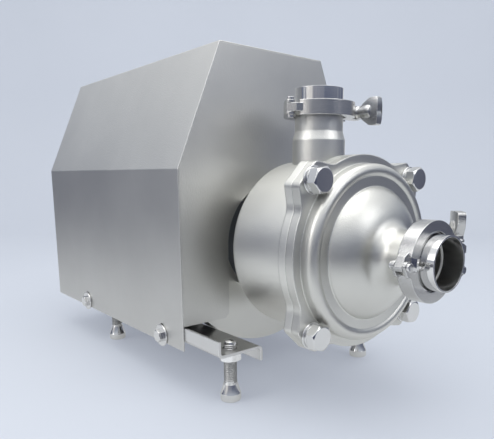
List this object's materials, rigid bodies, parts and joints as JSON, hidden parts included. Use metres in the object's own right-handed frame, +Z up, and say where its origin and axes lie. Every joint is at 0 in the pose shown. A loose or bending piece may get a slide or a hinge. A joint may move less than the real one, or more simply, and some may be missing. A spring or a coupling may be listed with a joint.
{
  "type": "self-priming pump",
  "caption": "Motor-driven self-priming pump: stainless shroud over the motor, lantern, round casing, domed cover with suction stub, upright discharge pipe, clamps and levelling feet.",
  "frame": {"origin": "point on the floor under the shaft, midway along the overall length", "axes": "+X along the shaft towards the suction port, +Y to the pump's far side, +Z up"},
  "size_m": [0.617, 0.275, 0.372],
  "materials": {
    "shroud_steel": "bead-blasted stainless sheet",
    "panel_steel": "fine-ground stainless sheet",
    "rail_steel": "satin stainless sheet",
    "bolt_steel": "polished stainless",
    "casing_steel": "satin blasted stainless",
    "lantern_steel": "turned and blasted stainless",
    "tube_steel": "mirror-polished stainless",
    "clamp_steel": "cast and tumbled stainless",
    "motor_aluminium": "painted-look die cast",
    "motor_iron": "machined and painted casting",
    "cowl_paint": "satin paint",
    "core_steel": "stacked sheet",
    "shaft_steel": "ground",
    "winding_copper": "varnished copper wire",
    "fan_plastic": "moulded",
    "gland_plastic": "moulded",
    "carbon": "lapped carbon",
    "ceramic": "lapped ceramic",
    "elastomer": "moulded rubber",
    "white_seal": "flat moulded seal"
  },
  "bodies": {
    "base": {"rail_left": "rail_steel", "rail_right": "rail_steel", "foot_jam_nuts": "bolt_steel", "side_screws": "bolt_steel", "side_washers": "bolt_steel", "motor_housing": "motor_aluminium", "motor_foot_bolts": "bolt_steel", "motor_front_shield": "motor_iron", "lantern_bolts": "bolt_steel", "motor_rear_shield": "motor_aluminium", "stator_core": "core_steel", "stator_windings": "winding_copper", "front_bearing": "shaft_steel", "rear_bearing": "shaft_steel", "fan_cowl": "cowl_paint", "terminal_box": "motor_aluminium", "terminal_box_lid": "motor_aluminium", "cable_gland": "gland_plastic", "lantern": "lantern_steel", "casing_screws": "bolt_steel", "pump_casing": "casing_steel", "front_cover": "casing_steel", "cover_flat_washers": "bolt_steel", "cover_spring_washers": "bolt_steel", "cover_bolts": "bolt_steel", "cover_gasket": "elastomer", "suction_ferrule": "tube_steel", "discharge_ferrule": "tube_steel", "suction_gasket": "white_seal", "discharge_gasket": "white_seal", "suction_clamp_fixed_half": "clamp_steel", "suction_clamp_pins": "bolt_steel", "discharge_clamp_fixed_half": "clamp_steel", "discharge_clamp_pins": "bolt_steel", "seal_seat": "ceramic", "inner_volute": "casing_steel", "wear_ring": "casing_steel"},
    "shroud": {"shroud_cover": "shroud_steel", "shroud_front_panel": "panel_steel", "shroud_rear_panel": "panel_steel"},
    "rotor": {"motor_shaft": "shaft_steel", "rotor_core": "core_steel", "cooling_fan": "fan_plastic", "pump_shaft": "shaft_steel", "shaft_clamp_ring": "shaft_steel", "seal_ring": "carbon", "seal_bellows": "elastomer", "impeller": "casing_steel", "impeller_nut": "bolt_steel"},
    "foot_front_left": {"levelling_foot_front_left": "bolt_steel"},
    "foot_front_right": {"levelling_foot_front_right": "bolt_steel"},
    "foot_rear_left": {"levelling_foot_rear_left": "bolt_steel"},
    "foot_rear_right": {"levelling_foot_rear_right": "bolt_steel"},
    "suction_clamp_half": {"suction_clamp_swing_half": "clamp_steel"},
    "suction_clamp_bolt": {"suction_clamp_swing_bolt": "bolt_steel"},
    "suction_clamp_nut": {"suction_clamp_wing_nut": "clamp_steel"},
    "discharge_clamp_half": {"discharge_clamp_swing_half": "clamp_steel"},
    "discharge_clamp_bolt": {"discharge_clamp_swing_bolt": "bolt_steel"},
    "discharge_clamp_nut": {"discharge_clamp_wing_nut": "clamp_steel"}
  },
  "joints": [
    {"name": "rotor_spin", "type": "hinge", "parent": "base", "child": "rotor", "pos_m": [0, 0, 0.157], "axis": [1, 0, 0], "continuous": true},
    {"name": "shroud_lift", "type": "slide", "parent": "base", "child": "shroud", "axis": [0, 0, 1], "range_m": [0, 0.35]},
    {"name": "foot_front_left_turn", "type": "hinge", "parent": "base", "child": "foot_front_left", "pos_m": [0.1235, -0.103, 0], "axis": [0, 0, 1], "continuous": true},
    {"name": "foot_front_right_turn", "type": "hinge", "parent": "base", "child": "foot_front_right", "pos_m": [0.1235, 0.103, 0], "axis": [0, 0, 1], "continuous": true},
    {"name": "foot_rear_left_turn", "type": "hinge", "parent": "base", "child": "foot_rear_left", "pos_m": [-0.1555, -0.103, 0], "axis": [0, 0, 1], "continuous": true},
    {"name": "foot_rear_right_turn", "type": "hinge", "parent": "base", "child": "foot_rear_right", "pos_m": [-0.1555, 0.103, 0], "axis": [0, 0, 1], "continuous": true},
    {"name": "suction_bolt_swing", "type": "hinge", "parent": "base", "child": "suction_clamp_bolt", "pos_m": [0.287, 0.047, 0.144], "axis": [-1, 0, 0], "range_deg": [0, 150]},
    {"name": "suction_clamp_open", "type": "hinge", "parent": "base", "child": "suction_clamp_half", "pos_m": [0.287, -0.041, 0.157], "axis": [1, 0, 0], "range_deg": [0, 6]},
    {"name": "suction_nut_spin", "type": "hinge", "parent": "suction_clamp_bolt", "child": "suction_clamp_nut", "pos_m": [0.287, 0.047, 0.144], "axis": [0, 0, 1], "continuous": true},
    {"name": "discharge_bolt_swing", "type": "hinge", "parent": "base", "child": "discharge_clamp_bolt", "pos_m": [0.1345, 0.047, 0.3005], "axis": [0, 0, 1], "range_deg": [0, 150]},
    {"name": "discharge_clamp_open", "type": "hinge", "parent": "base", "child": "discharge_clamp_half", "pos_m": [0.1475, -0.041, 0.3005], "axis": [0, 0, -1], "range_deg": [0, 6]},
    {"name": "discharge_nut_spin", "type": "hinge", "parent": "discharge_clamp_bolt", "child": "discharge_clamp_nut", "pos_m": [0.1345, 0.047, 0.3005], "axis": [1, 0, 0], "continuous": true}
  ],
  "couplings": [
    {"joint": "suction_clamp_open", "follows": "suction_bolt_swing", "ratio": 0.04},
    {"joint": "discharge_clamp_open", "follows": "discharge_bolt_swing", "ratio": 0.04}
  ]
}
